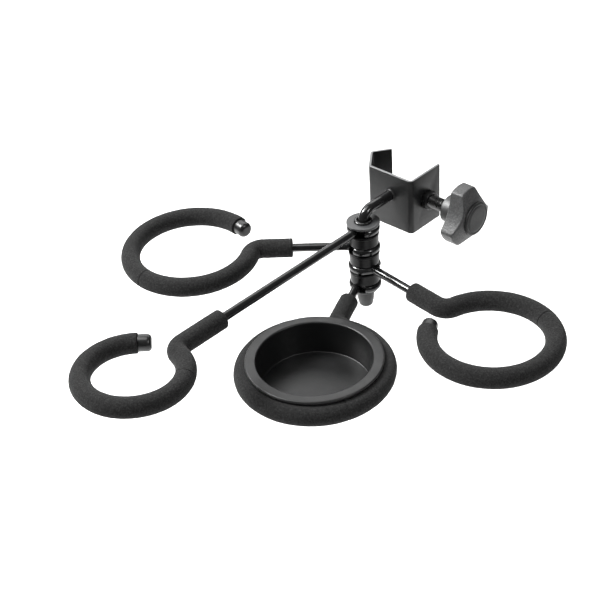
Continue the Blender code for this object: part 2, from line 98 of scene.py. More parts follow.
class Nodes:
    """Small helper to wire a node material."""

    def __init__(self, name):
        self.mat = bpy.data.materials.new(name)
        self.mat.use_nodes = True
        self.tree = self.mat.node_tree
        self.shader = self.tree.nodes["Principled BSDF"]
        coords = self.tree.nodes.new("ShaderNodeTexCoord")
        self.place = coords.outputs["Object"]

    def set(self, **values):
        for key, value in values.items():
            self.shader.inputs[key.replace("_", " ")].default_value = value

    def noise(self, scale, detail=3.0, rough=0.55):
        node = self.tree.nodes.new("ShaderNodeTexNoise")
        node.inputs["Scale"].default_value = scale
        node.inputs["Detail"].default_value = detail
        node.inputs["Roughness"].default_value = rough
        self.tree.links.new(self.place, node.inputs["Vector"])
        return node.outputs["Fac"]

    def pores(self, scale):
        node = self.tree.nodes.new("ShaderNodeTexVoronoi")
        node.inputs["Scale"].default_value = scale
        self.tree.links.new(self.place, node.inputs["Vector"])
        return node.outputs["Distance"]

    def ramp(self, source, stops):
        node = self.tree.nodes.new("ShaderNodeValToRGB")
        ramp = node.color_ramp
        while len(ramp.elements) < len(stops):
            ramp.elements.new(0.5)
        for element, (at, colour) in zip(ramp.elements, stops):
            element.position = at
            element.color = (*(colour if isinstance(colour, tuple) else grey(colour)), 1.0)
        self.tree.links.new(source, node.inputs["Fac"])
        return node.outputs["Color"]

    def to(self, source, socket):
        self.tree.links.new(source, self.shader.inputs[socket])

    def bump(self, *layers):
        """Layers of (height source, distance in metres, strength), the first one nearest."""
        normal = None
        for source, distance, strength in layers:
            node = self.tree.nodes.new("ShaderNodeBump")
            node.inputs["Distance"].default_value = distance
            node.inputs["Strength"].default_value = strength
            self.tree.links.new(source, node.inputs["Height"])
            if normal is not None:
                self.tree.links.new(normal, node.inputs["Normal"])
            normal = node.outputs["Normal"]
        self.tree.links.new(normal, self.shader.inputs["Normal"])


def grey(value, tint=0.0):
    return (value * (1 - tint), value, value * (1 + tint))


def foam_material():
    m = Nodes("foam")
    grain = m.noise(820.0, 5.0, 0.8)
    m.to(m.ramp(grain, [(0.36, grey(0.0035)), (0.5, grey(0.009)), (0.64, grey(0.023))]),
         "Base Color")
    m.set(Roughness=0.92, Sheen_Weight=0.045, Sheen_Roughness=0.6, Specular_IOR_Level=0.15)
    m.bump((m.noise(300.0, 4.0, 0.7), 0.0012, 0.5), (m.pores(1900.0), 0.0004, 0.55),
           (grain, 0.0004, 0.5))
    return m.mat


def coat_material(name, value, low, high, peel=0.25, tint=0.02, shine=0.5):
    """Paint or powder coat: slight orange peel, and patches of slightly other gloss."""
    m = Nodes(name)
    cloud = m.noise(45.0, 4.0, 0.6)
    m.to(m.ramp(cloud, [(0.3, grey(value * 0.85, tint)), (0.7, grey(value * 1.18, tint))]),
         "Base Color")
    m.to(m.ramp(m.noise(90.0, 5.0, 0.65), [(0.3, low), (0.7, high)]), "Roughness")
    m.set(Specular_IOR_Level=shine)
    m.bump((m.noise(900.0, 2.0, 0.5), 0.0002, peel))
    return m.mat


def plastic_material(name, value, low, high, grain_scale, grain_depth, speckle=0.15, tint=0.01,
                     shine=0.5):
    """Moulded plastic with an eroded grain."""
    m = Nodes(name)
    grain = m.noise(grain_scale, 5.0, 0.7)
    m.to(m.ramp(grain, [(0.3, grey(value * (1 - speckle), tint)),
                        (0.7, grey(value * (1 + speckle), tint))]), "Base Color")
    m.to(m.ramp(m.noise(120.0, 4.0, 0.6), [(0.3, low), (0.7, high)]), "Roughness")
    m.set(Specular_IOR_Level=shine)
    m.bump((grain, grain_depth, 0.6), (m.noise(grain_scale * 2.3, 3.0, 0.6), grain_depth, 0.3))
    return m.mat


def metal_material(name, value, low, high, scale=900.0, depth=0.00008):
    m = Nodes(name)
    marks = m.noise(scale, 4.0, 0.6)
    m.to(m.ramp(marks, [(0.3, grey(value * 0.85)), (0.7, grey(value * 1.1))]), "Base Color")
    m.to(m.ramp(m.noise(200.0, 4.0, 0.6), [(0.3, low), (0.7, high)]), "Roughness")
    m.set(Metallic=1.0)
    m.bump((marks, depth, 0.4))
    return m.mat


def rubber_material(name, value):
    m = Nodes(name)
    grain = m.noise(1300.0, 4.0, 0.6)
    m.to(m.ramp(grain, [(0.3, grey(value * 0.8)), (0.7, grey(value * 1.3))]), "Base Color")
    m.set(Roughness=0.75)
    m.bump((grain, 0.0002, 0.4))
    return m.mat


FOAM = foam_material()
WIRE_COAT = coat_material("gloss_coat", 0.007, 0.14, 0.24, 0.03)
BRACKET_COAT = coat_material("satin_coat", 0.007, 0.36, 0.46, 0.3, shine=0.3)
# Lighter copy of the satin coat for the strip's cut edges: a painted highlight that stands in for
# the light those edges catch.
EDGE_PAINTED_HIGHLIGHT_COAT = coat_material("satin_coat_painted_edge_highlight", 0.12, 0.3, 0.42, 0.3)
WASHER_COAT = coat_material("washer_coat", 0.034, 0.34, 0.46, 0.25)
SPACER_PLASTIC = plastic_material("spacer_plastic", 0.003, 0.28, 0.38, 1600.0, 0.00006,
                                  shine=0.17)
KNOB_PLASTIC = plastic_material("knob_plastic", 0.038, 0.36, 0.48, 620.0, 0.0006, 0.55,
                                shine=0.55)
KNOB_FACE = plastic_material("knob_face", 0.014, 0.4, 0.5, 1500.0, 0.00012, 0.2, shine=0.25)
TRAY_PLASTIC = plastic_material("tray_plastic", 0.007, 0.34, 0.44, 1900.0, 0.00006, 0.12, 0.02,
                                shine=0.4)
TIP_PLASTIC = plastic_material("tip_plastic", 0.006, 0.26, 0.36, 1100.0, 0.00005)
END_PLASTIC = plastic_material("end_plastic", 0.008, 0.38, 0.5, 1300.0, 0.0001)
STUD_STEEL = metal_material("black_oxide_steel", 0.12, 0.22, 0.4)
ZINC = metal_material("zinc_plate", 0.55, 0.25, 0.4)
NICKEL = metal_material("nickel_plate", 0.08, 0.46, 0.58, 1500.0)
NYLON = plastic_material("nylon", 0.012, 0.4, 0.5, 900.0, 0.00004, 0.06)
RUBBER = rubber_material("pad_rubber", 0.02)


# ---------------------------------------------------------------- mesh building

def new_object(name, points, faces):
    """Link a closed mesh given in millimetres, with its faces turned outwards."""
    mesh = bpy.data.meshes.new(name)
    mesh.from_pydata([tuple(c * MM for c in p) for p in points], [], faces)
    bm = bmesh.new()
    bm.from_mesh(mesh)
    bmesh.ops.recalc_face_normals(bm, faces=bm.faces)
    bm.to_mesh(mesh)
    bm.free()
    obj = bpy.data.objects.new(name, mesh)
    bpy.context.collection.objects.link(obj)
    return obj


def shade(mesh, sharp):
    mesh.shade_smooth()
    mesh.set_sharp_from_angle(angle=math.radians(sharp))


def make(name, points, faces, material, body, node, sharp=32.0):
    """Shaded piece that stands for one CAD node and rides on its body."""
    obj = new_object(name, points, faces)
    shade(obj.data, sharp)
    obj.data.materials.append(material)
    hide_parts(node)
    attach(obj, body)
    return obj


def rows_mesh(rows, loop=False, shut=(True, True)):
    """Points and faces over rows of equal length. loop joins the last row to the first; otherwise
    each end is closed over a middle point."""
    rows = [np.asarray(r, float) for r in rows]
    count = len(rows[0])
    points = [p for r in rows for p in r]
    faces = []
    last = len(rows) if loop else len(rows) - 1
    for k in range(last):
        a, b = k * count, ((k + 1) % len(rows)) * count
        for i in range(count):
            j = (i + 1) % count
            faces.append((a + i, a + j, b + j, b + i))
    if not loop:
        for row, base, wanted in ((rows[0], 0, shut[0]),
                                  (rows[-1], (len(rows) - 1) * count, shut[1])):
            if not wanted:
                continue
            hub = len(points)
            points.append(row.mean(axis=0))
            for i in range(count):
                faces.append((base + i, base + (i + 1) % count, hub))
    return points, faces


def arc_points(centre, radius, first, last, steps):
    """Profile points on an arc, in degrees, as (radius, height) pairs."""
    out = []
    for i in range(steps + 1):
        a = math.radians(first + (last - first) * i / steps)
        out.append((centre[0] + radius * math.cos(a), centre[1] + radius * math.sin(a)))
    return out


def turned(profile, steps=96, shape=None):
    """Rows of a turned body about Z from (radius, height) pairs."""
    angles = np.arange(steps) * 2 * math.pi / steps
    rows = []
    for radius, height in profile:
        r = np.full(steps, radius, float)
        if shape is not None:
            r = r + shape(angles, radius, height)
        rows.append(np.stack([r * np.cos(angles), r * np.sin(angles),
                              np.full(steps, height)], axis=1))
    return rows


def placed(rows, matrix):
    m = np.array(matrix)
    return [np.asarray(r) @ m[:3, :3].T + m[:3, 3] for r in rows]


SHAFT_PLACE = Matrix.Translation(SHAFT)
SCREW_PLACE = Matrix.Rotation(math.radians(90), 4, "Y")


def soft_edge(inner, outer, low, high, edge, steps=4):
    """Closed profile of a washer or sleeve whose outer edges are rounded."""
    small = min(edge, 0.3)
    out = arc_points((outer - edge, low + edge), edge, -90, 0, steps)
    out += arc_points((outer - edge, high - edge), edge, 0, 90, steps)
    out += arc_points((inner + small, high - small), small, 90, 180, 2)
    out += arc_points((inner + small, low + small), small, 180, 270, 2)
    return out


def shaft_ring(name, node, profile, material, steps=96, shape=None):
    points, faces = rows_mesh(placed(turned(profile, steps, shape), SHAFT_PLACE), loop=True)
    make(name, points, faces, material, "frame", node)


# ---------------------------------------------------------------- routes of bent wire

STRAIGHT_STEP = 8.0


class Path:
    """A route of straight runs and level arcs that can be read at any distance along it."""

    def __init__(self):
        self.parts = []
        self.length = 0.0
        self.tilt = Matrix.Identity(3)
        self.tilt_centre = Vector()
        self.tilt_from = math.inf

    def line(self, start, end):
        start, end = Vector(start), Vector(end)
        size = (end - start).length
        way = (end - start).normalized()
        self.parts.append((self.length, size, STRAIGHT_STEP, lambda d: start + way * d,
                           lambda d: way))
        self.length += size

    def arc(self, centre, radius, first, last, fine):
        centre = Vector(centre)
        first, last = math.radians(first), math.radians(last)
        size = abs(last - first) * radius
        way = 1 if last > first else -1

        def point(d):
            a = first + way * d / radius
            return centre + radius * Vector((math.cos(a), math.sin(a), 0.0))

        def heading(d):
            a = first + way * d / radius
            return way * Vector((-math.sin(a), math.cos(a), 0.0))

        self.parts.append((self.length, size, fine, point, heading))
        self.length += size

    def tilt_rest(self, centre, twist, pitch):
        """Tilt all that is added from here on about a point: twist about X, then pitch up."""
        self.tilt = (Matrix.Rotation(math.radians(-pitch), 3, "Y")
                     @ Matrix.Rotation(math.radians(twist), 3, "X"))
        self.tilt_centre = Vector(centre)
        self.tilt_from = self.length

    def at(self, distance):
        place = self.parts[-1]
        for part in self.parts:
            if distance <= part[0] + part[1] + 1e-6:
                place = part
                break
        begin, size, _, point, heading = place
        along = min(distance - begin, size)
        if begin >= self.tilt_from:
            tilted = self.tilt_centre + self.tilt @ (point(along) - self.tilt_centre)
            return tilted, self.tilt @ heading(along)
        return point(along), heading(along)

    def marks(self, low, high):
        out = [low]
        for begin, size, fine, _, _ in self.parts:
            steps = max(1, round(size / fine))
            for i in range(steps + 1):
                d = begin + size * i / steps
                if out[-1] + 0.3 < d < high - 0.3:
                    out.append(d)
        return out + [high]


def arm_route(reach, ring, aside, drop, twist, pitch, start, joint, end, cut, **_):
    """The wire's centreline in the arm's frame, and the distances along it of the foam's start,
    joint and end and of the tight bend before the ring."""
    path = Path()
    low = aside - EYE_FILLET
    out = math.sqrt((EYE + EYE_FILLET) ** 2 - low ** 2)
    touch = math.degrees(math.atan2(low, out))
    path.arc((0, 0, 0), EYE, cut, 360 + touch, 0.8)
    path.arc((out, low, 0), EYE_FILLET, 180 + touch, 90, 0.6)
    high = aside + RING_FILLET
    back = math.sqrt((ring + RING_FILLET) ** 2 - high ** 2)
    bend = reach - back
    if drop:
        path.line((out, aside, 0), (DROP_END, aside, -drop))
        path.line((DROP_END, aside, -drop), (bend, aside, -drop))
    else:
        path.line((out, aside, 0), (bend, aside, 0))
    foam_start = path.length - (bend - start)
    bend_start = path.length
    path.tilt_rest((bend, aside, -drop), twist, pitch)
    leave = math.degrees(math.atan2(-high, back))
    path.arc((bend, high, -drop), RING_FILLET, -90, leave, 0.9)
    bend_end = path.length
    first = 180 + leave
    path.arc((reach, 0, -drop), ring, first, end, 1.5)
    foam_meet = bend_end + math.radians(first - joint) * ring
    foam_end = path.length
    last = math.radians(end)
    point = Vector((reach + ring * math.cos(last), ring * math.sin(last), -drop))
    path.line(point, point + TIP_LENGTH * Vector((math.sin(last), -math.cos(last), 0.0)))
    return path, foam_start, foam_meet, foam_end, (bend_start, bend_end)


def frame_at(path, distance):
    point, heading = path.at(distance)
    side = Vector((0, 0, 1)).cross(heading).normalized()
    return point, side, heading.cross(side), heading


def wire_rows(path, sides=28):
    """Rows of the coated wire, with a small chamfer at its two cut ends."""
    rows = []
    marks = path.marks(0.0, path.length)
    stations = [(marks[0], WIRE - 0.5), (marks[0] + 0.35, WIRE - 0.12)]
    stations += [(d, WIRE) for d in marks if marks[0] + 0.8 < d < marks[-1] - 0.8]
    stations += [(marks[-1] - 0.35, WIRE - 0.12), (marks[-1], WIRE - 0.5)]
    for d, radius in stations:
        point, side, up, _ = frame_at(path, d)
        ring = []
        for i in range(sides):
            a = 2 * math.pi * i / sides
            ring.append(point + radius * (math.cos(a) * side + math.sin(a) * up))
        rows.append(ring)
    return rows


FOAM_BORE = WIRE + 0.06
FOAM_EDGE = 0.7                                         # rounding of the sleeves' cut ends
SKIN_WAVES = ((0.1, 0.055), (0.05, 0.22), (0.03, 0.9))  # height, and waves per millimetre
SQUEEZE_WIDTH, SQUEEZE_REACH = 6.5, 14.0
CREASE_DEPTH, CREASE_WIDTH = 0.9, 1.1
RIPPLE_HEIGHT, RIPPLE_LENGTH = 0.14, 4.2


def sleeve_profile(low, high, outer):
    """(distance, radius) pairs round a sleeve: one cut end, its skin, the other end, its bore."""
    bore, edge = FOAM_BORE, FOAM_EDGE
    profile = [(low, bore), (low, bore + 1.2), (low, (bore + outer) / 2)]
    for i in range(6):
        a = math.radians(90 * i / 5)
        profile.append((low + edge * (1 - math.cos(a)), outer - edge * (1 - math.sin(a))))
    steps = max(2, round((high - low - 2 * edge) / 1.5))
    for i in range(1, steps):
        profile.append((low + edge + (high - low - 2 * edge) * i / steps, outer))
    for i in range(6):
        a = math.radians(90 * (5 - i) / 5)
        profile.append((high - edge * (1 - math.cos(a)), outer - edge * (1 - math.sin(a))))
    profile += [(high, (bore + outer) / 2), (high, bore + 1.2), (high, bore)]
    back = max(2, round((high - low) / 3.0))
    profile += [(high - (high - low) * i / back, bore) for i in range(1, back)]
    return profile


def squeezed(off, inside):
    """Height of the skin at a distance off the bend's middle; inside is 1 on the bend's inside
    and 0 from its sides outwards."""
    if abs(off) >= SQUEEZE_REACH or inside <= 0.0:
        return 0.0
    squeeze = inside ** 2 * math.exp(-(off / SQUEEZE_WIDTH) ** 2)
    crease = CREASE_DEPTH * math.exp(-(off / CREASE_WIDTH) ** 2) * inside ** 3
    return RIPPLE_HEIGHT * math.cos(2 * math.pi * off / RIPPLE_LENGTH) * squeeze - crease


def foam_rows(path, low, high, outer, bend, seed, sides=40):
    """Rows of one foam sleeve: rounded cut ends, a slightly uneven skin, and a crease and small
    bulges where the sleeve is squeezed inside the tight bend."""
    middle = (bend[0] + bend[1]) / 2
    shift = Vector((seed * 31.7, seed * 17.3, seed * 5.9))
    rows = []
    for d, radius in sleeve_profile(low, high, outer):
        point, side, up, _ = frame_at(path, d)
        share = (radius - FOAM_BORE) / (outer - FOAM_BORE) if radius > FOAM_BORE + 0.5 else 0.0
        ring = []
        for i in range(sides):
            a = 2 * math.pi * i / sides
            ray = math.cos(a) * side + math.sin(a) * up
            spot = point + ray * radius + shift
            skin = sum(height * noise.noise(spot * waves) for height, waves in SKIN_WAVES)
            skin += squeezed(d - middle, max(0.0, math.cos(a)))
            ring.append(point + (radius + share * skin) * ray)
        rows.append(ring)
    return rows


def pivot_place(name, index):
    return (Matrix.Translation(SHAFT + Vector((0, 0, FIRST_EYE - index * PITCH)))
            @ Matrix.Rotation(math.radians(ARMS[name]["heading"]), 4, "Z"))


def tip_rows(path, end):
    """Outside and inside of the cap on the wire's end, and where it goes."""
    root, heading = path.at(end + GAP)
    radius, length, lip = TIP_CAP_RADIUS, TIP_CAP_LENGTH, 0.55
    profile = [(3.45, 0.0), (4.6, 0.0)]
    profile += arc_points((radius - lip, lip), lip, -90, 0, 4)
    profile += [(radius, 2.0), (radius, 4.2)]
    profile += arc_points((radius - TIP_DOME, length - TIP_DOME), TIP_DOME, 0, 82, 10)
    profile += [(2.2, length - 0.01), (1.0, length)]
    inside = [(0.8, 7.75), (3.4, 7.75), (3.45, 7.3)]
    outer, inner = turned(profile, 56), turned(inside, 56)
    matrix = (Matrix.Translation(root)
              @ Vector((0, 0, 1)).rotation_difference(heading).to_matrix().to_4x4())
    return outer, inner, matrix


def cup_mesh(outer, inner, matrix):
    """Closed body from an outside that ends at its closed end and an inside that starts there."""
    points, faces = rows_mesh(placed(outer, matrix), shut=(False, True))
    more, extra = rows_mesh(placed(inner, matrix), shut=(True, False))
    base = len(points)
    faces += [tuple(base + i for i in f) for f in extra]
    points += more
    count = len(outer[0])
    lip = base + (len(inner) - 1) * count
    for i in range(count):
        j = (i + 1) % count
        faces.append((i, lip + i, lip + j, j))
    return points, faces


def build_arm(index, name):
    place = ARMS[name]
    path, start, meet, end, bend = arm_route(**place)
    matrix = pivot_place(name, index)
    points, faces = rows_mesh(placed(wire_rows(path), matrix))
    make(f"{name}.wire", points, faces, WIRE_COAT, name, f"{name}_wire")
    for part, low, high in (("inner", start, meet - 0.02), ("outer", meet + 0.02, end)):
        rows = foam_rows(path, low, high, place["foam"], bend, index * 2 + (part == "outer"))
        points, faces = rows_mesh(placed(rows, matrix), loop=True)
        piece = make(f"{name}.foam_{part}", points, faces, FOAM, name, f"{name}_foam_{part}",
                     50.0)
    outer, inner, turn = tip_rows(path, end)
    points, faces = cup_mesh(outer, inner, matrix @ turn)
    make(f"{name}.tip_cap", points, faces, TIP_PLASTIC, name, f"{name}_tip_cap")


for index, name in enumerate(ARMS):
    build_arm(index, name)


# ---------------------------------------------------------------- stack on the shaft

shaft_ring("stop_washer.plate", "stop_washer",
           soft_edge(4.5, STOP_RADIUS, -STOP_THICKNESS, 0.0, 0.35), WASHER_COAT)


def ripples(count, depth, seed):
    """Uneven scale-like ripples round a weld bead."""
    def shape(angles, radius, height):
        wave = depth * np.cos(count * angles)
        rough = np.array([noise.noise(Vector((math.cos(a) * 2, math.sin(a) * 2, seed)))
                          for a in angles]) * depth * 1.3
        return (wave + rough) * (1.0 if radius > 5.3 else 0.0)
    return shape


collar = [(5.1, 0.3), (6.7, 0.3)] + arc_points((5.6, 0.3), 1.2, 8, 90, 7) + [(5.1, 1.5)]
shaft_ring("stop_weld.bead", "stop_weld", collar, WIRE_COAT, 96,
           ripples(17, 0.08, 3.0))

for i in range(4):
    middle = FIRST_EYE - i * PITCH
    shaft_ring(f"eye_bush_{i + 1}.sleeve", f"eye_bush_{i + 1}",
               soft_edge(SHAFT_BORE, BUSH_RADIUS, middle - WIRE, middle + WIRE, 0.25, 2),
               NYLON)

for i in range(3):
    top = FIRST_EYE - i * PITCH - WIRE - GAP
    low = FIRST_EYE - (i + 1) * PITCH + WIRE + GAP
    profile = arc_points((SPACER_FOOT - 0.45, low + 0.45), 0.45, -90, 0, 4)
    profile += [(11.32, low + 2.0), (11.45, top - 3.2), (11.55, top - 1.9)]
    profile += [(SPACER_TOP, top - 1.6)]
    profile += arc_points((SPACER_TOP - 0.5, top - 0.5), 0.5, 0, 90, 4)
    profile += [(4.6, top), (SHAFT_BORE, top - 0.3), (SHAFT_BORE, low + 0.3), (4.6, low)]
    shaft_ring(f"spacer_{i + 1}.body", f"spacer_{i + 1}", profile, SPACER_PLASTIC,
               112)

shaft_ring("thrust_washer.plate", "thrust_washer",
           soft_edge(3.3, THRUST_RADIUS, THRUST_TOP - THRUST_THICKNESS, THRUST_TOP, 0.3),
           WASHER_COAT)

cap_top = THRUST_TOP - THRUST_THICKNESS - GAP
outside = [(6.15, cap_top)] + arc_points((6.35, cap_top - 0.3), 0.3, 90, 0, 3)
outside += [(6.62, cap_top - 3.5), (6.6, cap_top - 7.0), (6.25, cap_top - 9.4),
            (5.75, cap_top - 11.6)]
outside += arc_points((2.4, cap_top - 12.4), 3.2, -4, -84, 12)
outside += [(1.2, cap_top - 15.66)]
inside = [(1.4, cap_top - 12.9), (3.4, cap_top - 12.0), (4.6, cap_top - 9.8),
          (6.1, cap_top - 7.2), (6.1, cap_top - 0.2)]
points, faces = cup_mesh(turned(outside, 80), turned(inside, 80), SHAFT_PLACE)
make("end_cap.cover", points, faces, END_PLASTIC, "frame", "end_cap")


def support_rows():
    """Level run from the web, bend, shaft and threaded stub, in the shaft's frame."""
    run = ROD_RUN_Z - SHAFT.z
    root = WEB_Y - GAP - SHAFT.y
    stub = THRUST_TOP + GAP
    route = [(Vector((0, root, run)), 0.0, ROD), (Vector((0, ROD_BEND + 8, run)), 0.0, ROD)]
    for i in range(25):
        a = math.radians(90 * i / 24)
        offset = Vector((0, -math.sin(a), math.cos(a))) * ROD_BEND
        route.append((Vector((0, ROD_BEND, run - ROD_BEND)) + offset, a, ROD))
    down = math.radians(90)
    shaft_top = run - ROD_BEND
    for k in range(1, 7):
        route.append((Vector((0, 0, shaft_top + (stub - shaft_top) * k / 7)), down, ROD))
    route += [(Vector((0, 0, stub + 0.4)), down, ROD), (Vector((0, 0, stub)), down, ROD - 0.3),
              (Vector((0, 0, stub)), down, STUB)]
    steps = round(stub - STUB_END) * 6
    for k in range(steps):
        z = stub - 0.05 - (stub - STUB_END - 0.6) * k / steps
        thread = STUB - 0.02 - 0.3 * (0.5 + 0.5 * math.cos(k * math.pi / 3))
        route.append((Vector((0, 0, z)), down, thread))
    route += [(Vector((0, 0, STUB_END + 0.4)), down, 2.7), (Vector((0, 0, STUB_END)), down, 2.3)]
    rows = []
    for point, a, radius in route:
        up = Vector((0, math.sin(a), -math.cos(a)))
        rows.append([point + radius * (math.cos(t) * Vector((1, 0, 0)) + math.sin(t) * up)
                     for t in (2 * math.pi * i / 40 for i in range(40))])
    return rows


points, faces = rows_mesh(placed(support_rows(), SHAFT_PLACE))
make("support_rod.bar", points, faces, WIRE_COAT, "frame", "support_rod")

bead = [(4.06, 0.0), (5.55, 0.0)] + arc_points((5.6, 1.5), 1.4, 268, 182, 8) + [(4.06, 1.5)]
weld_place = (Matrix.Translation((SHAFT.x, WEB_Y - GAP, ROD_RUN_Z))
              @ Matrix.Rotation(math.radians(90), 4, "X"))
points, faces = rows_mesh(placed(turned(bead, 96), weld_place), loop=True)
make("rod_weld.bead", points, faces, BRACKET_COAT, "frame", "rod_weld")


# ---------------------------------------------------------------- tray

def build_tray():
    place = ARMS["arm_4"]
    top, rim, seat = 10.5, 49.4, 7.55
    floor, base = top - 26.0, top - 28.0
    outside = arc_points((41.5 + 1.3, top - 1.3), 1.3, 180, 90, 7)
    outside += [(44.5, top), (46.5, top)]
    outside += arc_points((rim - 1.0, top - 1.0), 1.0, 90, 0, 6)
    outside += arc_points((rim - 0.5, seat + 0.5), 0.5, 0, -90, 3)
    outside += [(43.6, seat), (43.0, seat - 0.5), (42.6, seat - 7.0), (42.1, base + 8.0)]
    outside += arc_points((41.6 - 1.4, base + 1.4), 1.4, 0, -90, 6)
    outside += [(30.0, base), (15.0, base), (3.0, base)]
    inside = [(3.0, floor), (12.0, floor), (22.0, floor), (32.0, floor), (38.0, floor),
              (39.1, floor)]
    inside += arc_points((39.4, floor + 0.7), 0.7, -80, 0, 5)
    inside += [(40.35, floor + 4.0), (40.75, floor + 11.0), (41.15, floor + 18.0)]
    centre = pivot_place("arm_4", 3) @ Matrix.Translation((place["reach"], 0, -place["drop"]))
    points, faces = cup_mesh(turned(outside, 168), turned(inside, 168), centre)
    make("tray.cup", points, faces, TRAY_PLASTIC, "tray", "tray", 40.0)


build_tray()


# ---------------------------------------------------------------- bracket

def inward(way):
    return Vector((way.y, -way.x))


def strip_section():
    """Outer and inner corners of the bent strip, seen from above, from the screw's panel round."""
    left = PANEL_X - WEB_LENGTH
    corners = [Vector(c) for c in ((PANEL_X, PANEL_END_Y), (PANEL_X, WEB_Y), (left, WEB_Y),
                                   (left - VEE_DEPTH, 0.0))]
    corners.append(corners[-1] + Vector((VEE_DEPTH, -WEB_Y)).normalized() * VEE_LIP)
    way = (corners[1] - corners[0]).normalized()
    section = [(corners[0], corners[0] + SHEET * inward(way))]
    for before, corner, after in zip(corners, corners[1:], corners[2:]):
        way_in, way_out = (corner - before).normalized(), (after - corner).normalized()
        bend = way_in.angle(way_out)
        centre = corner - way_in * BEND * math.tan(bend / 2) + inward(way_in) * BEND
        steps = max(8, round(math.degrees(bend) / 6))
        for i in range(steps + 1):
            ray = Matrix.Rotation(-bend * i / steps, 2) @ -inward(way_in)
            section.append((centre + ray * BEND, centre + ray * (BEND - SHEET)))
    way = (corners[-1] - corners[-2]).normalized()
    section.append((corners[-1], corners[-1] + SHEET * inward(way)))
    return section


def build_bracket():
    half = STRIP_HEIGHT / 2
    rows = [[(a.x, a.y, -half), (a.x, a.y, half), (b.x, b.y, half), (b.x, b.y, -half)]
            for a, b in strip_section()]
    points = [p for r in rows for p in r]
    faces = []
    for k in range(len(rows) - 1):
        for i in range(4):
            j = (i + 1) % 4
            faces.append((4 * k + i, 4 * k + j, 4 * k + 4 + j, 4 * k + 4 + i))
    last = 4 * len(rows) - 4
    faces += [(0, 1, 2, 3), (last, last + 1, last + 2, last + 3)]

    bore = placed(turned([(STUD_BORE, 22.0), (STUD_BORE, 46.0)], 64), SCREW_PLACE)
    cutter = new_object("stud_hole", *rows_mesh(bore))
    obj = make("clamp_bracket.strip", points, faces, BRACKET_COAT, "frame", "clamp_bracket")
    # All cut faces of the strip, top, bottom and both ends, get the lighter coat: a painted
    # highlight along its edges.
    obj.data.materials.append(EDGE_PAINTED_HIGHLIGHT_COAT)
    for face in obj.data.polygons:
        painted_highlight_face = abs(face.normal.z) > 0.9 or face.index >= len(faces) - 2
        face.material_index = 1 if painted_highlight_face else 0
    cut = obj.modifiers.new("hole", "BOOLEAN")
    cut.operation = "DIFFERENCE"
    cut.solver = "EXACT"
    cut.object = cutter
    soft = obj.modifiers.new("broken_edges", "BEVEL")
    soft.width = 0.35 * MM
    soft.segments = 3
    soft.limit_method = "ANGLE"
    soft.angle_limit = math.radians(50)
    depsgraph = bpy.context.evaluated_depsgraph_get()
    mesh = bpy.data.meshes.new_from_object(obj.evaluated_get(depsgraph))
    obj.modifiers.clear()
    obj.data = mesh
    shade(mesh, 40)
    bpy.data.objects.remove(cutter, do_unlink=True)


build_bracket()


# ---------------------------------------------------------------- clamp screw and knob

def screw_ring(name, node, profile, material, body):
    points, faces = rows_mesh(placed(turned(profile), SCREW_PLACE), loop=True)
    make(name, points, faces, material, body, node)


def screw_row(x, radius, angles):
    """One row of points round the screw's axis; radius is a number or one for each angle."""
    r = np.broadcast_to(radius, angles.shape)
    return np.stack([np.full(len(angles), x), r * np.cos(angles), r * np.sin(angles)], axis=1)


boss = soft_edge(STUD_BORE, 7.4, PANEL_X + GAP, PANEL_X + 5.0, 0.8, 5)
screw_ring("clamp_weld_nut.boss", "clamp_weld_nut", boss, BRACKET_COAT, "frame")

ferrule = soft_edge(5.25, 10.5, 54.9, 64.05, 0.6, 5)
screw_ring("knob_ferrule.ring", "knob_ferrule", ferrule, NICKEL, "clamp_screw")


def thread_rows():
    """Stud with a rolled M10 thread, seen as rows along X; its tip is plain."""
    pitch, crest, root = 1.5, 4.95, 4.12
    low, high = 22.6, 69.45
    angles = np.arange(60) * 2 * math.pi / 60
    tip = ((19.65, 2.9), (20.1, 3.35), (22.55, 3.35), (low, 3.9))
    rows = [screw_row(x, radius, angles) for x, radius in tip]
    steps = int((high - low - 1.0) / (pitch / 12))
    for k in range(steps + 1):
        x = low + 0.25 + (high - low - 0.6) * k / steps
        phase = (x / pitch - angles / (2 * math.pi)) % 1.0
        tooth = np.clip(np.abs(phase - 0.5) * 2 * 1.25 - 0.12, 0.0, 1.0)
        fade = min(1.0, (x - low) / 1.5, (high - x) / 0.9)
        rows.append(screw_row(x, root + (crest - root) * tooth * max(0.15, fade), angles))
    rows.append(screw_row(high, root, angles))
    return rows


points, faces = rows_mesh(thread_rows())
make("clamp_stud.thread", points, faces, STUD_STEEL, "clamp_screw", "clamp_stud",
     60.0)


def pad_profile():
    face, back, radius = 17.1, 22.3, 8.0
    outside = [(3.7, back)]
    outside += arc_points((radius - 1.2, back - 1.2), 1.2, 90, 0, 5)
    outside += arc_points((radius - 0.8, face + 0.8), 0.8, 0, -90, 5)
    outside += [(5.6, face), (5.3, face + 0.35), (4.9, face + 0.35), (4.6, face), (1.5, face)]
    inside = [(1.5, 19.0), (3.5, 19.0), (3.7, 19.2)]
    return outside, inside


outside, inside = pad_profile()
points, faces = cup_mesh(turned(outside, 80), turned(inside, 80), SCREW_PLACE)
make("clamp_pad.rubber", points, faces, RUBBER, "clamp_pad", "clamp_pad")

LOBE, VALLEY, LOBE_HALF, LOBE_ANGLE = 23.5, 15.2, 20.0, 95.0
KNOB_BACK, KNOB_FRONT, KNOB_SEAT = 64.35, 74.85, 79.45
FACE_RADIUS = 13.4        # of the knob's front, where its slope ends


def soft_min(a, b, blend):
    return -blend * np.log(np.exp(-a / blend) + np.exp(-b / blend))


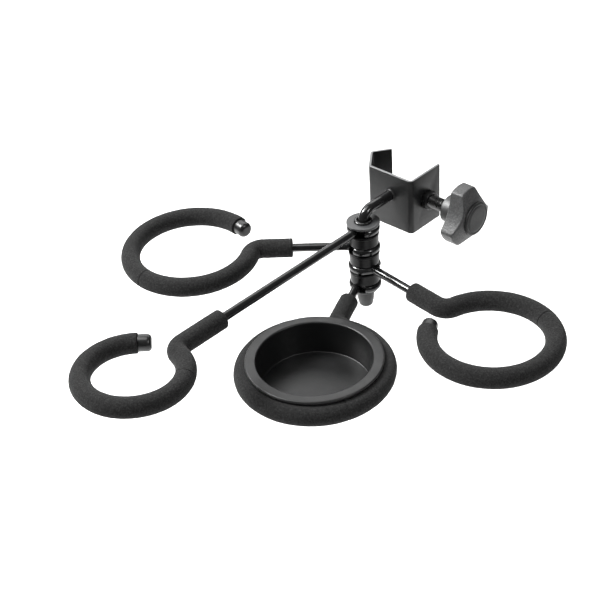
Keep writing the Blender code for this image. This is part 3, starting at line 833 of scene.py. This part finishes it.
def outline(angles):
    """Distance from the screw to the knob's three-lobed outline, by angle from +Y to +Z."""
    pitch = 2 * math.pi / 3
    off = (angles - math.radians(LOBE_ANGLE)) % pitch - pitch / 2
    half = pitch / 2 - math.radians(LOBE_HALF)
    chord, reach = LOBE * math.sin(half), LOBE * math.cos(half)
    sag = reach - VALLEY
    hollow = (chord ** 2 + sag ** 2) / (2 * sag)
    centre = VALLEY + hollow
    inside = hollow ** 2 - (centre * np.sin(off)) ** 2
    clear = 60.0
    flank = np.where(inside > 0, centre * np.cos(off) - np.sqrt(np.maximum(inside, 0)), clear)
    return soft_min(LOBE, np.minimum(flank, clear), 0.8)


def build_knob():
    angles = np.arange(216) * 2 * math.pi / 216
    shape = outline(angles)
    bore, soft, slope_start = 5.25, 1.1, KNOB_FRONT - 2.2
    rows = [screw_row(KNOB_SEAT - 9.7, bore, angles), screw_row(KNOB_BACK, bore, angles)]
    for t in (0.3, 0.6, 0.85, 1.0):
        rows.append(screw_row(KNOB_BACK, bore + (shape - soft - bore) * t, angles))
    for k in range(1, 7):
        a = math.radians(15 * k)
        rows.append(screw_row(KNOB_BACK + soft * (1 - math.cos(a)),
                              shape - soft * (1 - math.sin(a)), angles))
    flank_start = KNOB_BACK + soft
    for t in (0.15, 0.4, 0.65, 0.85):
        rows.append(screw_row(flank_start + (slope_start - flank_start) * t, shape, angles))
    for k in range(23):
        x = slope_start + (KNOB_SEAT - 0.2 - slope_start) * k / 22
        slope = (LOBE - FACE_RADIUS) / (KNOB_SEAT - KNOB_FRONT)
        limit = FACE_RADIUS + (KNOB_SEAT - x) * slope
        rows.append(screw_row(x, soft_min(shape, limit, 0.55), angles))
    rows += [screw_row(KNOB_SEAT, radius, angles) for radius in (13.2, 9.0, 3.0)]
    points, faces = rows_mesh(rows)
    make("clamp_knob.body", points, faces, KNOB_PLASTIC, "clamp_screw", "clamp_knob",
         50.0)


def build_knob_cap():
    low = KNOB_SEAT + GAP
    high = low + 2.1
    profile = [(3.0, low), (9.0, low)] + arc_points((12.7, low + 0.3), 0.3, -90, 0, 2)
    profile += arc_points((13.0 - 1.0, high - 1.15), 1.0, 0, 80, 6)
    profile += [(11.4, high - 0.1), (11.0, high - 0.35), (10.6, high - 0.35),
                (10.2, high - 0.1), (8.0, high - 0.02), (4.0, high), (1.0, high)]
    points, faces = rows_mesh(placed(turned(profile, 120), SCREW_PLACE))
    make("knob_cap.disc", points, faces, KNOB_FACE, "clamp_screw", "knob_cap")


build_knob()
build_knob_cap()

# CAD nodes that stay: hidden hardware in the foot of the stack
for node in ("spring_washer", "lock_nut"):
    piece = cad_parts[node]
    piece.data.materials.clear()
    piece.data.materials.append(ZINC)
    edge = piece.modifiers.new("broken_edges", "BEVEL")
    edge.width = 0.15 * MM
    edge.segments = 2
    edge.limit_method = "ANGLE"
    edge.angle_limit = math.radians(25)


# ---------------------------------------------------------------- camera, floor and lights

VIEW_AZIMUTH, VIEW_ELEVATION, VIEW_ROLL = 45.5, 35.39, -4.30
CAMERA_AT = Vector((568.0, -666.6, 517.55))
LENS = 78.54
FLOOR_RADIUS, FLOOR_SIDES, FLOOR_Z = 1.5, 128, -0.32      # metres
LIGHTS_AIM = (20.0, -90.0, -40.0)
SKY_FILL, SKY_IN_GLOSS, SKY_SEEN = 0.26, 0.13, 1.0


def view_axes():
    az, el = math.radians(VIEW_AZIMUTH), math.radians(VIEW_ELEVATION)
    ahead = Vector((-math.sin(az) * math.cos(el), math.cos(az) * math.cos(el), -math.sin(el)))
    right = Vector((math.cos(az), math.sin(az), 0))
    return ahead, right, right.cross(ahead)


def build_camera():
    ahead, right, up = view_axes()
    roll = math.radians(VIEW_ROLL)
    across = right * math.cos(roll) + up * math.sin(roll)
    above = up * math.cos(roll) - right * math.sin(roll)
    data = bpy.data.cameras.new("camera")
    data.lens = LENS
    data.sensor_width = 36.0
    data.clip_start, data.clip_end = 0.05, 50.0
    camera = bpy.data.objects.new("camera", data)
    turn = Matrix((across, above, -ahead)).transposed().to_4x4()
    camera.matrix_world = Matrix.Translation(CAMERA_AT * MM) @ turn
    bpy.context.collection.objects.link(camera)
    bpy.context.scene.camera = camera


def softbox(name, azimuth, elevation, distance, size, power):
    """Area light. azimuth 0 is the camera's side, and positive turns to the right."""
    az = math.radians(VIEW_AZIMUTH + azimuth)
    el = math.radians(elevation)
    way = Vector((math.sin(az) * math.cos(el), -math.cos(az) * math.cos(el), math.sin(el)))
    data = bpy.data.lights.new(name, "AREA")
    data.shape = "RECTANGLE"
    data.size, data.size_y = size
    data.energy = power
    light = bpy.data.objects.new(name, data)
    light.location = Vector(LIGHTS_AIM) * MM + way * distance
    light.rotation_euler = way.to_track_quat("Z", "Y").to_euler()
    bpy.context.collection.objects.link(light)


def build_floor():
    mesh = bpy.data.meshes.new("floor")
    angles = np.arange(FLOOR_SIDES) * 2 * math.pi / FLOOR_SIDES
    edge = [(FLOOR_RADIUS * math.cos(a), FLOOR_RADIUS * math.sin(a), FLOOR_Z) for a in angles]
    mesh.from_pydata(edge, [], [tuple(range(FLOOR_SIDES))])
    floor = bpy.data.objects.new("floor", mesh)
    bpy.context.collection.objects.link(floor)
    m = Nodes("floor_paper")
    m.to(m.ramp(m.noise(6.0, 3.0, 0.5), [(0.3, grey(0.9)), (0.7, grey(0.92))]), "Base Color")
    m.set(Roughness=0.9)
    mesh.materials.append(m.mat)


def build_world():
    """White sky that lights the scene softly, is dimmer in reflections and is seen as white."""
    world = bpy.data.worlds.new("studio")
    world.use_nodes = True
    tree = world.node_tree
    path = tree.nodes.new("ShaderNodeLightPath")
    first = tree.nodes["Background"]
    first.inputs["Color"].default_value = (1.0, 1.0, 1.0, 1.0)
    first.inputs["Strength"].default_value = SKY_FILL
    shader = first.outputs["Background"]
    for strength, rays in ((SKY_IN_GLOSS, "Is Glossy Ray"), (SKY_SEEN, "Is Camera Ray")):
        sky = tree.nodes.new("ShaderNodeBackground")
        sky.inputs["Color"].default_value = (1.0, 1.0, 1.0, 1.0)
        sky.inputs["Strength"].default_value = strength
        mix = tree.nodes.new("ShaderNodeMixShader")
        tree.links.new(path.outputs[rays], mix.inputs["Fac"])
        tree.links.new(shader, mix.inputs[1])
        tree.links.new(sky.outputs["Background"], mix.inputs[2])
        shader = mix.outputs["Shader"]
    tree.links.new(shader, tree.nodes["World Output"].inputs["Surface"])
    bpy.context.scene.world = world


build_camera()
build_floor()
build_world()
softbox("softbox_back", 180, 38, 2.2, (3.0, 1.2), 34)
softbox("softbox_top", -100, 74, 1.7, (0.9, 0.9), 12)
softbox("softbox_right", 46, 38, 1.7, (0.3, 0.3), 8)
softbox("softbox_left", -105, 46, 1.7, (0.55, 0.55), 66)
bpy.context.scene.view_settings.view_transform = "Standard"
bpy.context.scene.view_settings.look = "None"
